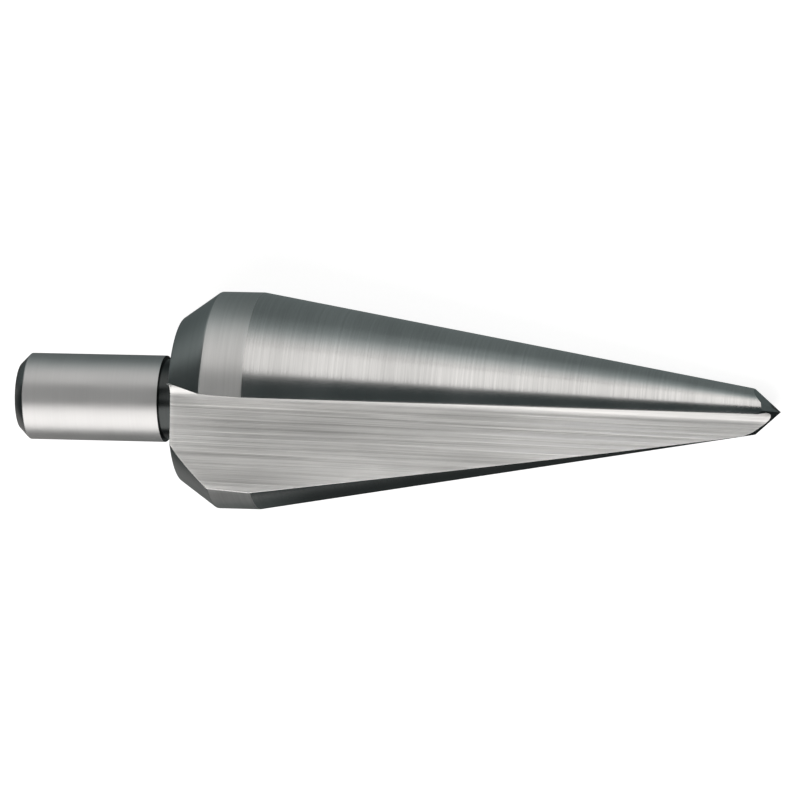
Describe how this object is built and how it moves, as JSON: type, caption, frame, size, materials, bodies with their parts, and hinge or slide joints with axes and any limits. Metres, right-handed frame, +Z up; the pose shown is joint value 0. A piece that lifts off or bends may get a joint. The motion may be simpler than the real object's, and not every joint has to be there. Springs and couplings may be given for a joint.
{
  "type": "cone drill bit",
  "caption": "Conical drill bit for sheet metal and tube, with straight V flutes, a ground point and a plain round shank.",
  "frame": {"origin": "on the table under the middle of the drill's bounding box, as the drill lies at rest", "axes": "+X along the drill towards its point, which dips 8.4 degrees below level; +Z up"},
  "size_m": [0.0706, 0.02, 0.0181],
  "materials": {
    "ground_steel": "ground bright tool steel"
  },
  "bodies": {
    "root": {"cone_drill": "ground_steel"}
  },
  "joints": []
}
